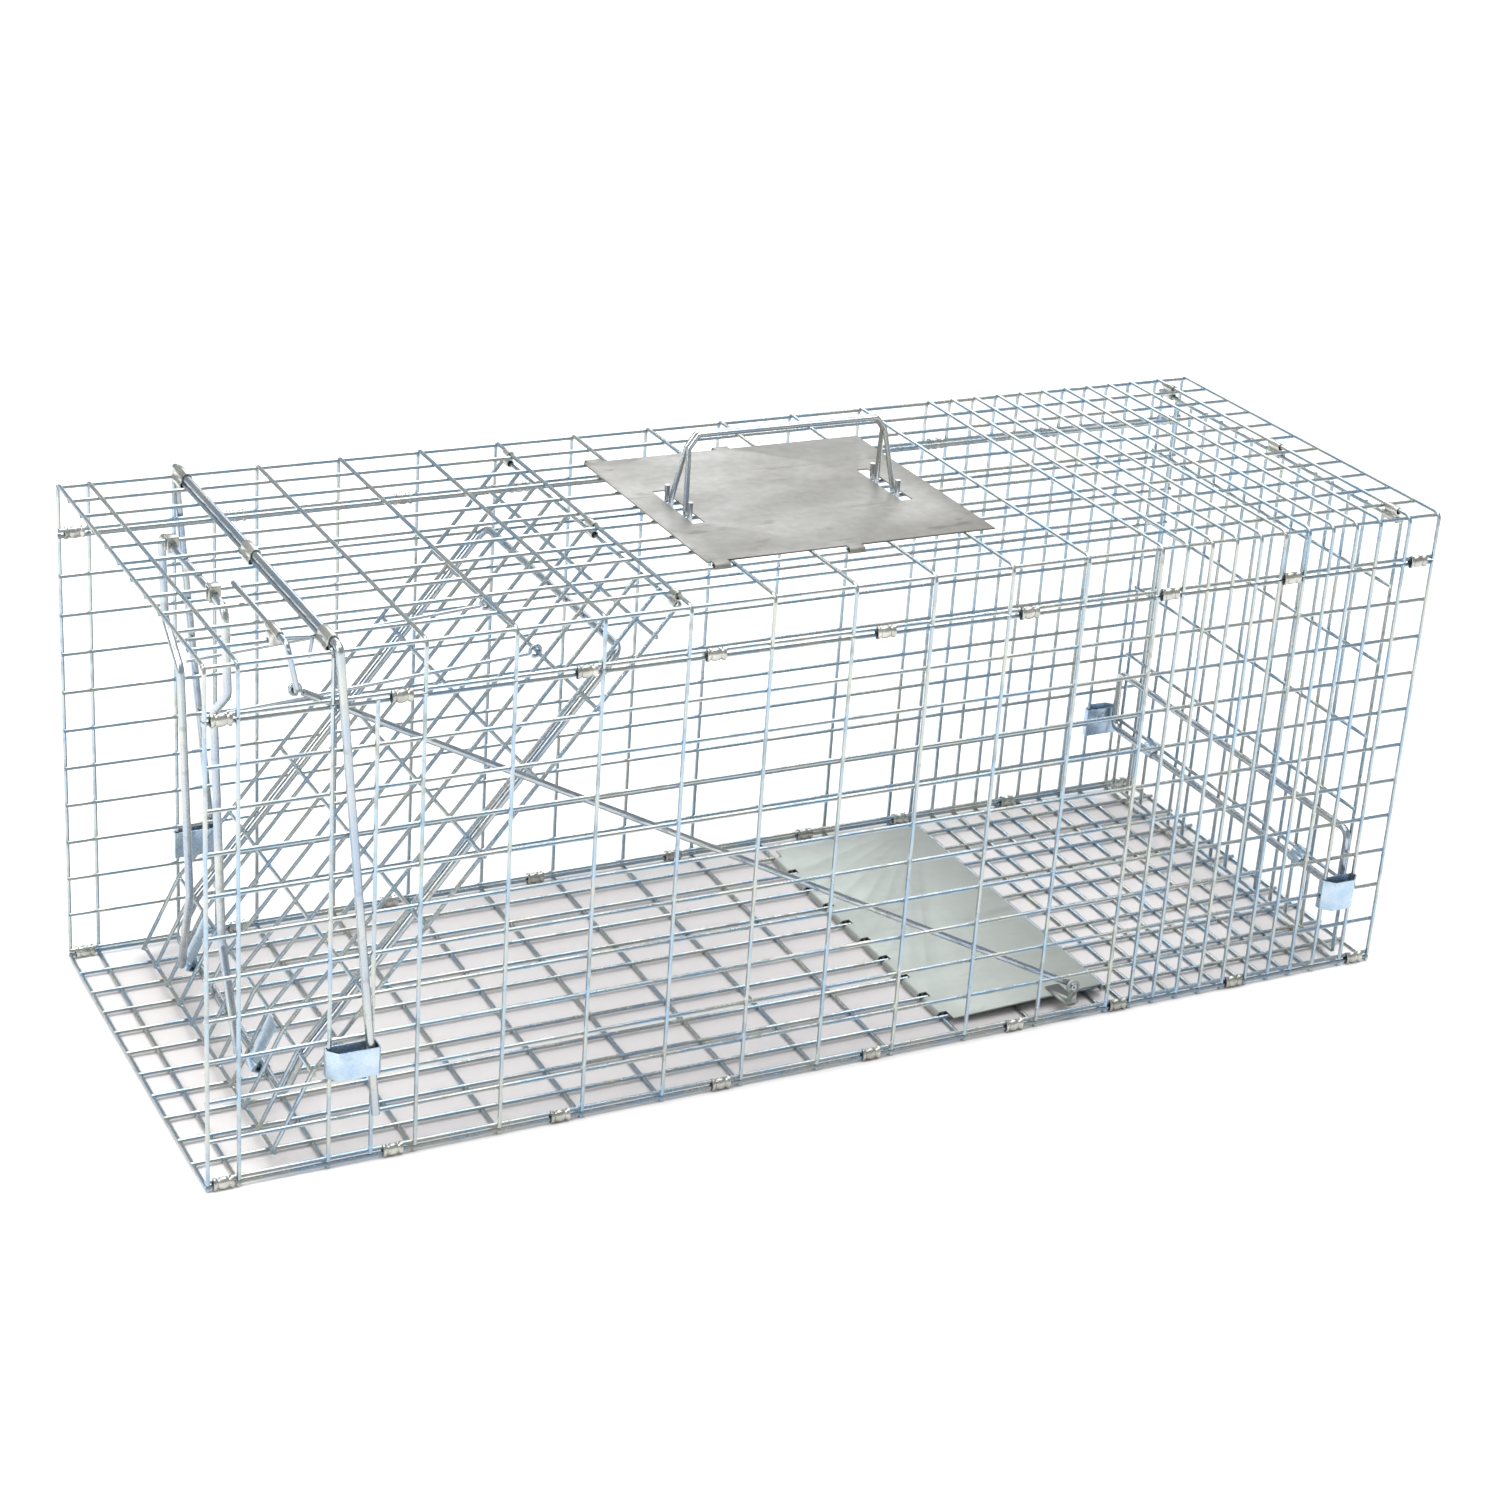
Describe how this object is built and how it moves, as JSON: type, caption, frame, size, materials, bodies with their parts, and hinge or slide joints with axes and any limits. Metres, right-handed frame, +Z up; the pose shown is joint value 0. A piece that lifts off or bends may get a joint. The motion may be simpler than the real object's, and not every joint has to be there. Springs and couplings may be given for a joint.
{
  "type": "live catch trap",
  "caption": "Welded-wire live catch trap with a sloping gravity door, drop lock frame, treadle trigger, carrying handle and hinged rear door.",
  "frame": {"origin": "middle of the cage's base, on the surface that it rests on", "axes": "+X along the cage from the front door to the rear door, +Y across it, +Z up"},
  "size_m": [0.8022, 0.3042, 0.3666],
  "materials": {
    "galvanised_mesh": "satin galvanised wire",
    "plated_rod": "satin zinc-plated rod",
    "crimped_clip": "bright crimped zinc-plated steel",
    "bright_sheet": "bright blue-passivated zinc",
    "dull_sheet": "dull galvanised sheet"
  },
  "bodies": {
    "cage": {"floor_panel": "galvanised_mesh", "near_side_panel": "galvanised_mesh", "far_side_panel": "galvanised_mesh", "roof_panel": "galvanised_mesh", "near_roof_skirt": "galvanised_mesh", "far_roof_skirt": "galvanised_mesh", "top_panel_clips": "crimped_clip", "bottom_panel_clips": "crimped_clip", "front_hoop": "plated_rod", "hoop_sleeves": "crimped_clip", "front_keeper_plates": "bright_sheet", "rear_keeper_plates": "bright_sheet", "guard_plate": "dull_sheet", "carry_handle": "plated_rod", "lock_hangers": "bright_sheet", "trigger_bracket": "crimped_clip", "door_hinge_clips": "crimped_clip", "rear_hinge_clips": "crimped_clip"},
    "front_door": {"door_panel": "galvanised_mesh", "door_rod": "plated_rod", "door_catch_clips": "bright_sheet"},
    "lock": {"lock_frame": "plated_rod"},
    "links": {"lock_links": "plated_rod"},
    "lever": {"trigger_lever": "plated_rod"},
    "pull_rod": {"trigger_rod": "plated_rod"},
    "treadle": {"treadle_plate": "dull_sheet", "treadle_crank": "crimped_clip"},
    "rear_door": {"rear_door_panel": "galvanised_mesh", "latch_clips": "crimped_clip"},
    "latch": {"latch_ring": "plated_rod"}
  },
  "joints": [
    {"name": "door_lift", "type": "hinge", "parent": "cage", "child": "front_door", "pos_m": [-0.121, 0, 0.3126], "axis": [0, 1, 0], "range_deg": [0, 44]},
    {"name": "lock_swing", "type": "hinge", "parent": "cage", "child": "lock", "pos_m": [-0.362, 0, 0.3138], "axis": [0, 1, 0], "range_deg": [0, 72.7]},
    {"name": "link_pivot", "type": "hinge", "parent": "front_door", "child": "links", "pos_m": [-0.16807, 0, 0.25533], "axis": [0, 1, 0], "range_deg": [-41, 0]},
    {"name": "treadle_tip", "type": "hinge", "parent": "cage", "child": "treadle", "pos_m": [0.0878, 0, 0.0022], "axis": [0, -1, 0], "range_deg": [0, 8]},
    {"name": "lever_turn", "type": "hinge", "parent": "cage", "child": "lever", "pos_m": [-0.353, 0, 0.3229], "axis": [0, -1, 0], "range_deg": [-18, 0]},
    {"name": "rod_pivot", "type": "hinge", "parent": "lever", "child": "pull_rod", "pos_m": [-0.34697, 0, 0.29453], "axis": [0, -1, 0], "range_deg": [0, 19.3]},
    {"name": "rear_door_swing", "type": "hinge", "parent": "cage", "child": "rear_door", "pos_m": [0.3771, 0, 0.3126], "axis": [0, -1, 0], "range_deg": [0, 85]},
    {"name": "latch_turn", "type": "hinge", "parent": "rear_door", "child": "latch", "pos_m": [0.3732, 0, 0.0546], "axis": [0, -1, 0], "range_deg": [0, 85]}
  ],
  "couplings": [
    {"joint": "lock_swing", "follows": "door_lift", "ratio": 1.65},
    {"joint": "link_pivot", "follows": "door_lift", "ratio": -0.93},
    {"joint": "lever_turn", "follows": "treadle_tip", "ratio": -2.245},
    {"joint": "rod_pivot", "follows": "treadle_tip", "ratio": 2.41}
  ]
}
